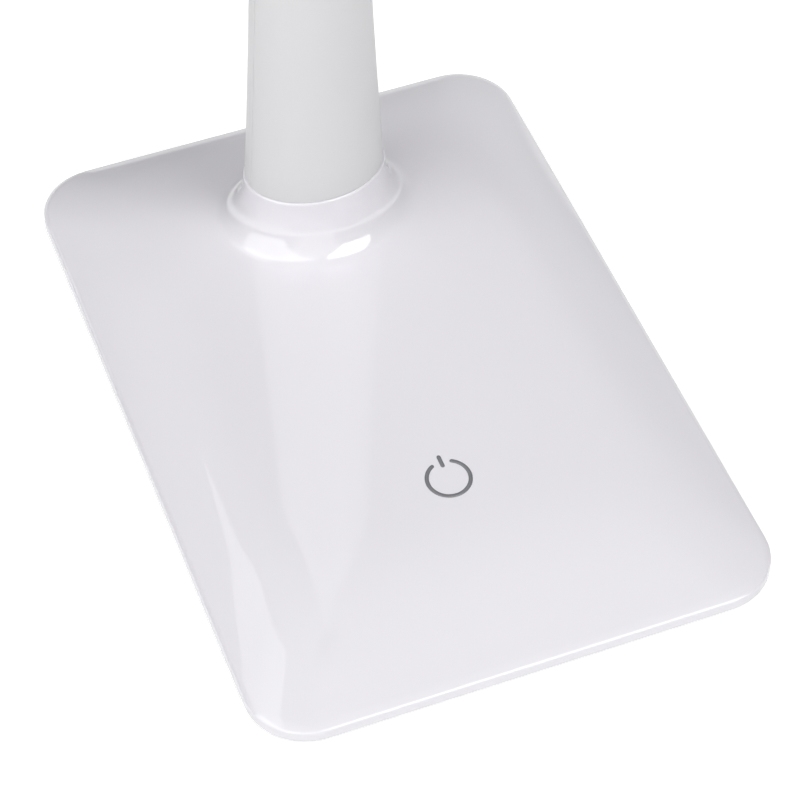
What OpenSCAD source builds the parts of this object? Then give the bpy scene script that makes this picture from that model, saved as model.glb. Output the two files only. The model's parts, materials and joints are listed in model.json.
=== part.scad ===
// Folding LED desk lamp: a weighted, low-domed base with a moulded collar, a tapered
// oval stem on a steel tube, and a slim light bar on a friction hinge.
// The origin is on the desk under the middle of the base. +Z is up and the light
// bar points to -Y. All sizes are millimetres.

/* [Base] */
// Width of the base, side to side
base_w = 120; // [110:1:150]
// Depth of the base, front to back
base_d = 175.4; // [165:0.1:210]
// Corner radius of the base in plan
base_corner = 13.9; // [10:0.1:20]
// Height of the upright rim
rim_h = 2.7; // [2.4:0.1:4]
// Height of the flat top over the rim's foot, at the middle of the base
crown_h = 9.2; // [8.5:0.1:14]
// Fall of the flat top towards the front, as a slope
crown_slope = 0.03; // [0:0.01:0.05]
// Drop of the flat top from its middle to its sides
crown_camber = 0.5; // [0:0.1:1.5]
// Width of the sloping border at the sides
side_border = 21; // [12:1:26]
// Width of the sloping border at the front
front_border = 43; // [30:1:50]
// Width of the sloping border at the back
rear_border = 44; // [36:1:50]
// Wall of the base shell over its top
top_wall = 1.8; // [1.4:0.1:2.2]
// Wall of the rim
rim_wall = 2; // [1.6:0.1:3]
// Rounding of the rim's top edge
rim_round = 0.8; // [0.3:0.1:1.2]
// Thickness of the bottom plate
plate_t = 1.6; // [1.2:0.1:2]
// Thickness of the anti-slip pad
pad_t = 1; // [0.5:0.1:2]
// Distance from the rim to the edge of the anti-slip pad
pad_inset = 4; // [3:0.5:10]
// Thickness of the ballast plate
ballast_t = 3; // [2:0.1:3.2]
// Distance from the ballast plate to the sides of the base
ballast_side_inset = 17; // [14:1:22]
// Distance from the ballast plate to the front of the base
ballast_front_inset = 41.7; // [38:0.1:48]
// Distance from the ballast plate to the back of the base
ballast_back_inset = 15.7; // [14:0.1:20]
// Distance from the side screws to the sides of the base
boss_side_inset = 19; // [17:1:24]
// Distance from the front screws to the front of the base
boss_front_inset = 35.7; // [30:0.1:42]
// Distance from the back screws to the back of the base
boss_back_inset = 21.7; // [20:0.1:30]

/* [Collar and stem] */
// Width of the stem at the collar
stem_w = 33.2; // [28:0.1:36]
// Depth of the stem at the collar
stem_d = 25.2; // [22:0.1:30]
// Distance from the stem's axis to the back of the base
stem_inset = 38.9; // [36:0.1:46]
// Height of the collar's top edge over the rim's foot
collar_h = 24.7; // [22:0.1:32]
// Height of the straight lip at the top of the collar
lip_h = 5; // [3:0.1:7]
// Width of the fillet between the collar and the base
collar_fillet = 8; // [5:0.1:10]
// Forward lean of the stem, in degrees
lean = 2.72; // [0:0.01:4]
// Height of the stem's shells over the collar
shell_h = 175; // [140:1:190]
// Height of the rounded shoulder at the top of the shells
shoulder_h = 16; // [10:1:24]
// Width that the stem's taper runs out to
stem_top_w = 21.6; // [20:0.1:28]
// Wall of the stem's shells
stem_wall = 1.8; // [1.4:0.1:2.2]
// Distance of the parting line in front of the stem's widest line
parting_fwd = 2; // [0:0.1:4]
// Gap along the parting line
parting_gap = 0.1; // [0.05:0.01:0.3]
// Depth of the spigot that the shells push into the collar
spigot_h = 9; // [6:0.5:12]
// Outside diameter of the inner tube
tube_d = 12; // [10:0.1:13]
// Wall of the inner tube
tube_wall = 1; // [0.8:0.1:1.5]

/* [Touch switch and socket] */
// Distance from the touch spot to the front of the base
touch_inset = 49.3; // [44:0.1:56]
// Width of the control board
board_w = 30; // [26:1:34]
// Length of the control board
board_l = 32; // [28:1:36]
// Thickness of the circuit boards
board_t = 1; // [0.8:0.1:1.2]
// Sideways place of the power socket
socket_x = 12; // [10:0.5:14]
// Depth of the plug bay in from the back of the rim
bay_depth = 15; // [14:0.5:16]
// Width of the plug bay
bay_w = 13.6; // [13:0.1:15]
// Width of the power socket
socket_w = 8.94; // [8:0.01:10]
// Height of the power socket
socket_h = 3.26; // [2.8:0.01:3.4]
// Length of the power socket
socket_l = 7.3; // [6.5:0.1:8]
// Wall of the power socket's steel shell
socket_wall = 0.3; // [0.2:0.05:0.4]

/* [Hinge] */
// Height of the hinge's axis over the desk
hinge_h = 255; // [240:1:275]
// Radius of the hinge eye
eye_r = 7; // [6.5:0.1:8]
// Width of the hinge eye
eye_w = 12; // [10:0.1:12.4]
// Width of the cable slot in the hinge eye
slot_w = 5; // [4:0.1:5.5]
// Diameter of the pivot screws' shoulder
pivot_d = 5; // [4.5:0.1:5.5]
// Thickness of the hinge fork's ears
ear_t = 2; // [1.5:0.1:2.5]
// Width of the hinge fork's plate
fork_w = 27; // [26:0.5:30]
// Length of the hinge fork's plate
fork_l = 21; // [20:0.5:24]
// Thickness of the friction washers
washer_t = 0.5; // [0.3:0.1:0.8]
// Outside width over the two hinge cheeks
cheeks_w = 28; // [27:0.5:32]
// Radius of the hinge cheeks
cheek_r = 8.5; // [8.2:0.1:9.4]
// Thickness of the round caps over the pivot screws
cap_t = 1.2; // [1:0.1:1.4]

/* [Light bar] */
// Width of the light bar
bar_w = 38; // [36:1:48]
// Thickness of the light bar
bar_t = 12; // [12:0.1:15]
// Reach of the light bar in front of the hinge's axis
bar_reach = 200; // [180:1:225]
// Length of the light bar behind the hinge's axis
bar_back = 13; // [12.5:0.1:16]
// Height of the bar's underside over the hinge's axis
bar_lift = 10; // [9.8:0.1:12]
// Corner radius of the bar in plan
bar_corner = 10; // [7:0.1:14]
// Rounding of the bar's top edge
bar_round = 3; // [1:0.1:4]
// Wall of the bar's top housing
bar_wall = 1.8; // [1.4:0.1:2.2]
// Thickness of the bar's bottom frame
frame_t = 2; // [1.8:0.1:2.4]
// Thickness of the diffuser's edge
diffuser_t = 1.8; // [1.5:0.1:2]
// Width of the light window
window_w = 24; // [20:1:25]
// Depth of the reflector between the diffuser and the LED board
reflector_h = 3.4; // [3:0.1:4]
// Wall of the reflector
reflector_wall = 1.5; // [1:0.1:2]
// Thickness of the LED board
led_board_t = 1.2; // [1:0.1:1.6]
// Thickness of the heat spreader
spreader_t = 1.2; // [0.8:0.1:1.6]
// Number of LEDs in a row
led_count = 14; // [8:1:18]
// Distance between the two rows of LEDs
led_rows = 12; // [8:1:16]
// Distance from the outer LEDs to the ends of their board
led_margin = 7; // [4:0.5:12]

/* [Hidden] */

$fn = 48;
glossy_white = [0.93, 0.92, 0.935];
satin_white = [0.90, 0.90, 0.91];
steel = [0.72, 0.73, 0.75];
fit = 0.1;            // gap between pieces that are pushed together
seat = 0.02;          // gap between a thread or pin and its own hole
run_gap = 0.05;       // running gap of a turning piece, on the radius
bond = 0.8;           // how far a moulded boss or wall runs into the skin it joins

// Outline of the base
half_w = base_w / 2;
half_d = base_d / 2;
foot_z = pad_t;                       // underside of the rim
floor_z = foot_z + plate_t;           // top of the bottom plate
collar_z = foot_z + collar_h;         // top edge of the collar
lip_z = collar_z - lip_h;
arc_steps = 6;
long_steps = 9;
short_steps = 7;

// Stem and touch spot
stem_back = half_d - stem_inset;
touch_fwd = half_d - touch_inset;
stem_a = stem_w / 2;
stem_b = stem_d / 2;
lean_k = tan(lean);
tube_r = tube_d / 2;
bore_r = tube_r - tube_wall;
hinge_y = stem_back - lean_k * (hinge_h - collar_z);
axis_len = (hinge_h - collar_z) / cos(lean);   // from the collar to the hinge, along the stem

// Stem foot: a flanged socket on the ballast plate
flange_t = 2;
flange_w = 37;
flange_front = 18;    // reach of the flange in front of the stem's axis
flange_back = 10;     // reach of the flange behind it
flange_corner = 3;
socket_boss_r = tube_r + 2;
socket_boss_h = 16;
ledge_h = 6;          // the tube stands this high over the ballast plate
ledge_z = floor_z + ballast_t + ledge_h;
socket_boss_z = floor_z + ballast_t + socket_boss_h;
foot_hole_x = 14;
foot_hole_y = [-13.5, 4.5];
cable_d = 2;
cable_gate = 4.4;     // width of the cable's way into the foot
cable_gap = 1.05;     // the cables of stem and bar end this far from the hinge's axis

// Screws
base_screw_d = 2.9;
base_boss_d = 7;
base_head_d = base_screw_d + 2.4;
boss_x = half_w - boss_side_inset;
boss_front = boss_front_inset - half_d;
boss_back = half_d - boss_back_inset;
boss_y = [boss_front, (boss_front + boss_back) / 2, boss_back];
small_screw_d = 2.5;
small_grip = 5;       // length of a small screw in its boss
tiny_screw_d = 2;
tiny_head_h = 1;

// Control board
board_z = floor_z + 1;
board_post_d = 3;
board_pin_d = 1.6;      // pins of the bottom plate, staked over the boards
component_h = 1.3;

// Power socket
bay_y = half_d - bay_depth;           // inner wall of the plug bay
bay_wall = 1.6;
socket_z = floor_z + 0.08 + socket_h / 2;
socket_board_w = 15;
socket_board_l = 9;
socket_board_z = socket_z - board_t / 2;

// Hinge stack, out from the middle along X
eye_x = eye_w / 2;
ear_x = eye_x + washer_t + run_gap;
ear_out = ear_x + ear_t;
spring_t = 0.7;
head_x = ear_out + run_gap + spring_t;
pivot_head_d = 9;
pivot_head_t = 2;
cheek_x = ear_out + fit;
cheek_out = cheeks_w / 2;
cap_r = cheek_r - 1.9;
cheek_bore_r = pivot_head_d / 2 + 0.7;
thread_d = 4;

// Light bar, with heights over the hinge's axis
bar_len = bar_reach + bar_back;
bar_mid = (bar_back - bar_reach) / 2;
bar_half_l = bar_len / 2;
bar_half_w = bar_w / 2;
frame_z = bar_lift + frame_t;         // top of the bottom frame
fork_t = 2.2;
fork_z = frame_z + fork_t;
roof_z = bar_lift + bar_t - bar_wall; // inside of the housing's roof
optics_rear = -17;                    // rear end of the LED board
optics_front = 13 - bar_reach;        // front end of the LED board
optics_len = optics_rear - optics_front;
optics_mid = (optics_rear + optics_front) / 2;
ledge_t = 1;                          // thickness of the lip that holds the diffuser
window_lip = 2;                       // width of that lip
optics_r = 4;                         // corner radius of the diffuser and the boards
optics_w = window_w + 2 * window_lip;
diffuser_top = bar_lift + ledge_t + diffuser_t;
board_low = diffuser_top + reflector_h;
spreader_low = board_low + led_board_t;
spreader_top = spreader_low + spreader_t;
led_size = [3.5, 2.8, 0.8];
boss_pad_d = 6;
frame_boss_d = 5;
frame_hole_x = [12, 9];               // of the screws at the hinge and at the front
frame_hole_y = [-13.6, 6.7 - bar_reach];
frame_holes = [for (k = [0, 1], s = [-1, 1]) [s * frame_hole_x[k], frame_hole_y[k]]];
fork_holes = [for (x = [-1, 1], y = [-1, 1]) [x * (fork_w / 2 - 2.6), y * (fork_l / 2 - 3.3)]];
board_holes = [for (k = [0.04, 0.5, 0.96]) optics_rear - k * optics_len];

// Distance from the centre to a rounded rectangle, along the direction (x, y)
function edge_reach(x, y, hx, hy, r) =
    let (ax = abs(x), ay = abs(y), n = norm([x, y]), c = ax / n, s = ay / n,
         kx = hx - r, ky = hy - r, b = c * kx + s * ky)
    s * hx <= c * ky ? hx / c
    : c * hy <= s * kx ? hy / s
    : b + sqrt(max(0, b * b - kx * kx - ky * ky + r * r));

// Rise of the sloping border: 0 at the rim, 1 where the flat top begins
function border_rise(t) = t >= 1 ? 1 : t * (2 - t);

// Height of the base's top surface
function top_z(x, y) =
    let (flat_z = crown_h + crown_slope * y - crown_camber * pow(x / half_w, 2),
         border = y < 0 ? front_border : rear_border,
         r0 = edge_reach(x, y + 1e-9, half_w, half_d, base_corner),
         r1 = edge_reach(x, y + 1e-9, half_w - side_border, half_d - border, base_corner),
         t = (r0 - norm([x, y])) / (r0 - r1))
    foot_z + rim_h + (flat_z - rim_h) * border_rise(max(0, t));

// Points round a rounded rectangle, with the same count at any size
function plan(hx, hy, r, n_long, n_short) =
    let (sx = [1, -1, -1, 1], sy = [1, 1, -1, -1],
         at = function(k, a) [sx[k] * (hx - r) + r * cos(a), sy[k] * (hy - r) + r * sin(a)])
    [for (k = [0:3])
        let (n = k % 2 == 0 ? n_short : n_long, a1 = 90 * (k + 1),
             p = at(k, a1), q = at((k + 1) % 4, a1))
        each concat([for (i = [0:arc_steps]) at(k, 90 * (k + i / arc_steps))],
                    [for (i = [1:1:n]) p + (q - p) * i / (n + 1)])];

function lift(ring, z) = [for (p = ring) [p.x, p.y, z]];

// The point of the ellipse (a, b) about the stem's foot at the plan angle w
function oval_point(w, a, b) = [0, stem_back] + [cos(w), sin(w)] / norm([cos(w) / a, sin(w) / b]);

// Plan angles about the stem's foot, half way between the ring's own and evenly spaced ones
function headings(ring) =
    let (n = len(ring), own = [for (p = ring) atan2(p.y - stem_back, p.x)])
    [for (i = [0:n - 1]) (own[i] + (own[i] < own[0] ? 360 : 0) + own[0] + 360 * i / n) / 2];

// A closed body through rings of equal count. With loop, the last ring joins the first.
module skin(rings, loop = false) {
    n = len(rings);
    m = len(rings[0]);
    sides = [for (j = [0:1:(loop ? n : n - 1) - 1], i = [0:m - 1])
        let (k = (j + 1) % n, h = (i + 1) % m)
        each [[j * m + i, k * m + i, k * m + h], [j * m + i, k * m + h, j * m + h]]];
    caps = loop ? [] : concat([[for (i = [0:m - 1]) i]],
                              [[for (i = [m - 1:-1:0]) (n - 1) * m + i]]);
    polyhedron(points = [for (r = rings) each r], faces = concat(sides, caps));
}

// A curved wall between two grids of points, rows going up and columns turning left
module wall_between(outer, inner) {
    n = len(outer);
    m = len(outer[0]);
    q = n * m;
    function quad(a, b, c, d) = [[a, b, c], [a, c, d]];
    polyhedron(points = concat([for (r = outer) each r], [for (r = inner) each r]),
        faces = concat(
            [for (j = [0:n - 2], i = [0:m - 2]) let (a = j * m + i)
                each concat(quad(a, a + m, a + m + 1, a + 1),
                            quad(q + a, q + a + 1, q + a + m + 1, q + a + m))],
            [for (i = [0:m - 2]) let (t = (n - 1) * m + i)
                each concat(quad(i, i + 1, q + i + 1, q + i),
                            quad(t, q + t, q + t + 1, t + 1))],
            [for (j = [0:n - 2]) let (a = j * m, b = a + m - 1)
                each concat(quad(a, q + a, q + a + m, a + m),
                            quad(b, b + m, q + b + m, q + b))]));
}

// A round cable along a list of points
module cable(path, d, sides = 8) {
    n = len(path);
    aim = [for (i = [0:n - 1]) let (v = path[min(i + 1, n - 1)] - path[max(i - 1, 0)]) v / norm(v)];
    rings = [for (i = [0:n - 1])
        let (t = aim[i], s = abs(t.x) < 0.9 ? [1, 0, 0] : [0, 1, 0],
             c = cross(t, s), u = c / norm(c), v = cross(t, u))
        [for (k = [0:sides - 1]) path[i] + d / 2 * (cos(360 * k / sides) * u + sin(360 * k / sides) * v)]];
    skin(rings);
}

module rounded_rect(l, w, r) {
    square([l - 2 * r, w], center = true);
    square([l, w - 2 * r], center = true);
    for (x = [-1, 1], y = [-1, 1]) translate([x * (l / 2 - r), y * (w / 2 - r)]) circle(r);
}

// Children placed in the stem's leaning frame, with z along the stem from the collar
module on_stem() {
    translate([0, stem_back, collar_z]) rotate([lean, 0, 0]) children();
}

// Children placed about the hinge's axis
module on_hinge() {
    translate([0, hinge_y, hinge_h]) children();
}

module along_x(x) {
    translate([x, 0, 0]) rotate([90, 0, 90]) children();
}

// A screw with a countersunk head, pointing up from z = 0
module flat_screw(d, length, head_d) {
    head_h = (head_d - d) / 2;
    difference() {
        rotate_extrude() polygon([[0, 0], [head_d / 2, 0], [d / 2, head_h], [d / 2, length], [0, length]]);
        translate([0, 0, -1]) cylinder(d = 0.45 * head_d, h = 1 + head_h * 0.6, $fn = 6);
    }
}

// The hole for that screw, with the same proportions
module flat_hole(d, depth, head_d) {
    head_h = (head_d - d) / 2;
    rotate_extrude() polygon([[0, -1], [head_d / 2 + seat, -1], [head_d / 2 + seat, seat],
                              [d / 2 + seat, head_h + seat], [d / 2 + seat, depth], [0, depth]]);
}

module at_base_screws() {
    for (x = [-1, 1], y = boss_y) translate([x * boss_x, y, 0]) children();
}

module base_top_shell() {
    dome_steps = [0, 0.06, 0.13, 0.2, 0.28, 0.38, 0.5, 0.64, 0.8, 1];
    fillet_steps = [15, 30, 45, 60, 75, 90];
    function rim(inset) = plan(half_w - inset, half_d - inset, base_corner - inset, long_steps, short_steps);
    last = len(rim(0)) - 1;
    heading = headings(rim(0));
    foot_a = stem_a + collar_fillet;
    foot_b = stem_b + collar_fillet;
    foot = [for (w = heading) oval_point(w, foot_a, foot_b)];
    // one ring of the dome, a share s of the way from the rim to the fillet's foot
    function dome(from, s, drop, low) = [for (i = [0:last]) let (q = from[i] + s * (foot[i] - from[i]))
        [q.x, q.y, max(low, top_z(q.x, q.y) - drop)]];
    // one ring of the fillet, turned through the angle f
    function fillet(f, a, b, drop) = [for (i = [0:last])
        let (k = 1 - sin(f), z0 = top_z(foot[i].x, foot[i].y) - drop,
             q = oval_point(heading[i], a + k * (foot_a - a), b + k * (foot_b - b)))
        [q.x, q.y, z0 + (lip_z - z0) * (1 - cos(f))]];
    function oval(a, b, z) = [for (w = heading) let (q = oval_point(w, a, b)) [q.x, q.y, z]];
    in_a = stem_a - top_wall;
    in_b = stem_b - top_wall;
    soft = 0.3 * rim_round;
    low = floor_z + fit;
    rings = concat(
        [lift(rim(0), foot_z), lift(rim(0), foot_z + rim_h - rim_round)],
        [lift(rim(soft), foot_z + rim_h - soft)],
        [for (s = dome_steps) dome(rim(rim_round), s, 0, 0)],
        [for (f = fillet_steps) fillet(f, stem_a, stem_b, 0)],
        [oval(stem_a, stem_b, collar_z), oval(in_a, in_b, collar_z)],
        [for (i = [len(fillet_steps) - 1:-1:0]) fillet(fillet_steps[i], in_a, in_b, top_wall)],
        [for (i = [len(dome_steps) - 1:-1:0]) dome(rim(rim_wall), dome_steps[i], top_wall, low)],
        [lift(rim(rim_wall), foot_z)]);
    bay_x = bay_w / 2 + bay_wall;
    // outline under the dome's skin, seen from the side, from the bay's inner wall to the rim
    function under_skin(y0, y1) = [for (i = [0:5]) let (y = y0 + (y1 - y0) * i / 5)
        [y, top_z(socket_x, y) - bond]];
    color(glossy_white) difference() {
        union() {
            skin(rings, true);
            for (x = [-1, 1], y = boss_y)
                translate([x * boss_x, y, floor_z])
                    cylinder(d = base_boss_d, h = top_z(boss_x, y) - bond - floor_z);
            along_x(socket_x - bay_x) linear_extrude(2 * bay_x)
                polygon(concat([[half_d - rim_wall / 2, foot_z], [bay_y - bay_wall, foot_z]],
                               under_skin(bay_y - bay_wall, half_d - rim_wall / 2)));
        }
        at_base_screws() translate([0, 0, floor_z - 1])
            cylinder(d = base_screw_d + 2 * seat, h = base_hole_depth() + 1);
        translate([socket_x - bay_w / 2, bay_y, foot_z - 1]) cube([bay_w, bay_depth + 1, crown_h + collar_h]);
        translate([socket_x, bay_y - bay_wall - 1, socket_z]) rotate([-90, 0, 0])
            linear_extrude(bay_wall + 2)
                rounded_rect(socket_w + 2 * fit, socket_h + 2 * fit, socket_h / 2 - 0.1);
    }
}

// Room for a screw in the lowest of the base's bosses
function base_hole_depth() = min([for (y = boss_y) top_z(boss_x, y)]) - top_wall - floor_z;

module bottom_plate() {
    inset = rim_wall + fit;
    bay_x = bay_w / 2 + bay_wall + fit;
    color(satin_white) {
        difference() {
            translate([0, 0, foot_z]) linear_extrude(plate_t)
                rounded_rect(base_w - 2 * inset, base_d - 2 * inset, base_corner - inset);
            at_base_screws() translate([0, 0, foot_z])
                flat_hole(base_screw_d, plate_t + 1, base_head_d);
            translate([socket_x - bay_x, bay_y - bay_wall - fit, foot_z - 1])
                cube([2 * bay_x, bay_depth + 5, plate_t + 2]);
        }
        at_board_pins() pin_post(board_z);
        at_socket_pins() pin_post(socket_board_z);
    }
}

module at_board_pins() {
    for (x = [-1, 1], y = [-1, 1])
        translate([x * (board_w / 2 - 3), y * (board_l / 2 - 3) - touch_fwd, 0]) children();
}

module at_socket_pins() {
    for (x = [-1, 1])
        translate([socket_x + x * (socket_board_w / 2 - 1.7), bay_y - socket_l - 3, 0]) children();
}

// A post that carries a board at the height z, with a pin through the board
module pin_post(z) {
    translate([0, 0, floor_z]) cylinder(d = board_post_d, h = z - floor_z);
    translate([0, 0, floor_z]) cylinder(d = board_pin_d, h = z + board_t + 0.4 - floor_z);
}

module anti_slip_pad() {
    color([0.2, 0.2, 0.21]) linear_extrude(pad_t)
        rounded_rect(base_w - 2 * pad_inset, base_d - 2 * pad_inset, base_corner - pad_inset);
}

module ballast_plate() {
    notch_x = board_w / 2 + 2;
    notch_y = board_l / 2 + 2 - touch_fwd;
    bay_x = socket_board_w / 2 + 2;
    front = ballast_front_inset - half_d;
    back = half_d - ballast_back_inset;
    color([0.42, 0.43, 0.45]) difference() {
        translate([0, (front + back) / 2, floor_z]) linear_extrude(ballast_t)
            rounded_rect(base_w - 2 * ballast_side_inset, back - front, 6);
        translate([-notch_x, front - 1, floor_z - 1])
            cube([2 * notch_x, notch_y - front + 1, ballast_t + 2]);
        translate([socket_x - bay_x, bay_y - socket_l - socket_board_l, floor_z - 1])
            cube([2 * bay_x, base_d, ballast_t + 2]);
        at_base_screws() translate([0, 0, floor_z - 1]) cylinder(d = base_boss_d + 1, h = ballast_t + 2);
        at_foot_screws() translate([0, 0, floor_z - 1])
            cylinder(d = base_screw_d + 2 * seat, h = ballast_t + 2);
    }
}

module base_screws() {
    color(steel) at_base_screws() translate([0, 0, foot_z])
        flat_screw(base_screw_d, plate_t + base_hole_depth() - 0.3, base_head_d);
}

module control_board() {
    color([0.13, 0.36, 0.22]) difference() {
        translate([0, -touch_fwd, board_z]) linear_extrude(board_t) rounded_rect(board_w, board_l, 1.5);
        at_board_pins() translate([0, 0, board_z - 1]) cylinder(d = board_pin_d + 2 * seat, h = board_t + 2);
    }
    color([0.12, 0.12, 0.13]) translate([0, -touch_fwd, board_z + board_t]) {
        translate([-11, -9, 0]) cube([5, 6, component_h]);
        translate([-11.5, 1, 0]) cube([6, 6, component_h]);
        translate([7, -11, 0]) cube([3, 4.5, component_h]);
        translate([7.5, -2, 0]) cube([4, 4, component_h]);
        translate([8, 5, 0]) cube([2, 1.25, component_h - 0.5]);
        translate([4, 8, 0]) cube([2, 1.25, component_h - 0.5]);
    }
}

// Conductive foam that carries the touch from the shell to the board
module touch_foam() {
    low = board_z + board_t;
    color([0.3, 0.3, 0.32]) translate([0, -touch_fwd, low])
        cylinder(d = 8, h = top_z(0, -touch_fwd) - top_wall - low - 3 * fit);
}

module socket_board() {
    color([0.13, 0.36, 0.22]) difference() {
        translate([socket_x - socket_board_w / 2, bay_y - socket_l - 5, socket_board_z])
            cube([socket_board_w, socket_board_l, board_t]);
        translate([socket_x - socket_w / 2 - seat, bay_y - socket_l - 0.5, socket_board_z - 1])
            cube([socket_w + 2 * seat, socket_board_l, board_t + 2]);
        at_socket_pins() translate([0, 0, socket_board_z - 1])
            cylinder(d = board_pin_d + 2 * seat, h = board_t + 2);
    }
}

module power_socket() {
    back = bay_y - 0.4 - socket_l;
    color(steel) translate([socket_x, back, socket_z]) rotate([-90, 0, 0]) difference() {
        linear_extrude(socket_l) rounded_rect(socket_w, socket_h, socket_h / 2 - 0.1);
        translate([0, 0, 0.8]) linear_extrude(socket_l) difference() {
            rounded_rect(socket_w - 2 * socket_wall, socket_h - 2 * socket_wall,
                         socket_h / 2 - socket_wall - 0.1);
            square([socket_w - 2.3, 0.7], center = true);
        }
    }
}

module supply_wires() {
    d = 1.2;
    z = floor_z + ballast_t + d / 2 + 0.15;
    socket_end_z = socket_board_z + board_t + d / 2;
    control_end_z = board_z + board_t + d / 2;
    y0 = bay_y - socket_l - 5.1;
    x1 = flange_w / 2 + 3.9;
    bend_y = stem_back - flange_front - 5;
    board_y = board_l / 2 - touch_fwd;
    color([0.75, 0.12, 0.1]) for (k = [0, 1]) let (z0 = socket_end_z + 1.3 * k, x2 = 5 + 2 * k)
        cable([[socket_x - 2 + 2 * k, y0 + 3.2, socket_end_z], [socket_x - 2 + 2 * k, y0 + 1.5, z0],
               [socket_x + 2 * k, y0, z0], [x1 - 2.4, y0, z0], [x1 - 1, y0 - 2.7, z + 0.5 * k],
               [x1 + 1.6 * k, y0 - 10, z], [x1 + 1.6 * k, bend_y, z],
               [(x1 + x2) / 2 + k, (bend_y + board_y) / 2, z], [x2 + 2, board_y + 8, z],
               [x2 + 0.5, board_y + 1, z], [x2, board_y - 1.5, control_end_z],
               [x2, board_y - 4, control_end_z]], d, 6);
}

module at_foot_screws() {
    for (x = [-1, 1], y = foot_hole_y) translate([x * foot_hole_x, stem_back + y, 0]) children();
}

// Foot of the stem, down to the ballast plate, about the leaning tube
module stem_foot() {
    low = floor_z + ballast_t;
    color([0.6, 0.6, 0.62]) difference() {
        union() {
            translate([0, stem_back + (flange_back - flange_front) / 2, low]) linear_extrude(flange_t)
                rounded_rect(flange_w, flange_front + flange_back, flange_corner);
            translate([0, stem_back, low]) cylinder(r = socket_boss_r, h = socket_boss_z - low);
        }
        intersection() {
            on_stem() translate([0, 0, ledge_z - collar_z]) cylinder(r = tube_r + run_gap, h = axis_len);
            translate([0, stem_back, ledge_z]) cylinder(r = 3 * tube_r, h = axis_len);
        }
        translate([0, stem_back, low - 1]) cylinder(r = bore_r - 1, h = ledge_z - low + 2);
        translate([-cable_gate / 2, stem_back - flange_front - 1, low - 1])
            cube([cable_gate, flange_front + 1, ledge_z - low]);
        at_foot_screws() translate([0, 0, low + flange_t]) mirror([0, 0, 1])
            flat_hole(base_screw_d, flange_t + 1, base_head_d);
    }
}

module foot_screws() {
    color(steel) at_foot_screws() translate([0, 0, floor_z + ballast_t + flange_t]) mirror([0, 0, 1])
        flat_screw(base_screw_d, flange_t + ballast_t - 0.4, base_head_d);
}

plug_len = 14;                        // part of the hinge eye inside the tube
tube_end = axis_len - eye_r - 2;      // top of the tube, along the stem
tube_start = (ledge_z - collar_z) / cos(lean) + tube_r * lean_k + run_gap;

module stem_tube() {
    color(satin_white) on_stem() translate([0, 0, tube_start]) difference() {
        cylinder(r = tube_r, h = tube_end - tube_start);
        translate([0, 0, -1]) cylinder(r = bore_r, h = tube_end - tube_start + 2);
    }
}

taper_run = 37;                       // the taper would run out this far above the shoulder's foot

// Half width of the stem at a height over the collar, up to the shoulder
function stem_half(h) =
    let (t = 1 - h / (shell_h - shoulder_h + taper_run))
    stem_top_w / 2 + (stem_a - stem_top_w / 2) * t * t;

hole_r = tube_r + fit;                // hole round the tube at the top of the shells
spigot_a = stem_a - top_wall - fit;
depth_share = stem_b / stem_a;

// Rows of the stem's surface: height over the collar, half width and half depth
function stem_rows(wall) =
    let (flat_h = shell_h - shoulder_h, rise = shoulder_h - wall,
         spigot_b = stem_b - top_wall - fit)
    concat(
        [for (h = [-spigot_h, fit]) [h, spigot_a - wall, spigot_b - wall]],
        wall == 0 ? [[fit, stem_a, stem_b]] : [[2 * wall, spigot_a - wall, spigot_b - wall]],
        wall == 0 ? [] : [[4 * wall, stem_half(4 * wall) - wall, stem_half(4 * wall) * depth_share - wall]],
        wall == 0 ? [[4 * stem_wall, stem_half(4 * stem_wall), stem_half(4 * stem_wall) * depth_share]] : [],
        [for (k = [1:8]) let (h = 4 * stem_wall + (flat_h - 4 * stem_wall) * k / 8, a = stem_half(h))
            [h, a - wall, a * depth_share - wall]],
        [for (f = [18, 36, 54, 72, 90])
            let (a = stem_half(flat_h) - wall, b = stem_half(flat_h) * depth_share - wall)
            [flat_h + rise * sin(f), hole_r + (a - hole_r) * cos(f), hole_r + (b - hole_r) * cos(f)]]);

// Points of a row on the front or rear side of the parting line
function stem_arc(row, side, columns) =
    let (line = parting_fwd + side * parting_gap / 2, a0 = asin(min(0.95, line / row[2])),
         start = side > 0 ? 180 + a0 : -a0, turn = side > 0 ? 180 - 2 * a0 : 180 + 2 * a0)
    [for (i = [0:columns]) let (w = start + turn * i / columns)
        [row[1] * cos(w), stem_back - lean_k * max(0, row[0]) + row[2] * sin(w), collar_z + row[0]]];

module stem_half_shell(side, columns) {
    wall_between([for (r = stem_rows(0)) stem_arc(r, side, columns)],
                 [for (r = stem_rows(stem_wall)) stem_arc(r, side, columns)]);
}

module stem_front_cover() {
    color(satin_white) stem_half_shell(1, 18);
}

// The rear shell has ribs that steady the tube
module stem_rear_shell() {
    rib_t = 2;
    color(satin_white) {
        stem_half_shell(-1, 20);
        for (k = [0.25, 0.55, 0.85])
            let (h = k * (shell_h - shoulder_h), a = stem_half(h) - stem_wall / 2,
                 b = stem_half(h) * depth_share - stem_wall / 2)
            difference() {
                translate([0, stem_back - lean_k * h, collar_z + h]) linear_extrude(rib_t)
                    polygon([for (i = [0:20]) let (w = 180 * i / 20) [a * cos(w), b * sin(w)]]);
                on_stem() translate([0, 0, h - 5]) cylinder(r = tube_r + fit, h = rib_t + 10);
            }
    }
}

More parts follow.
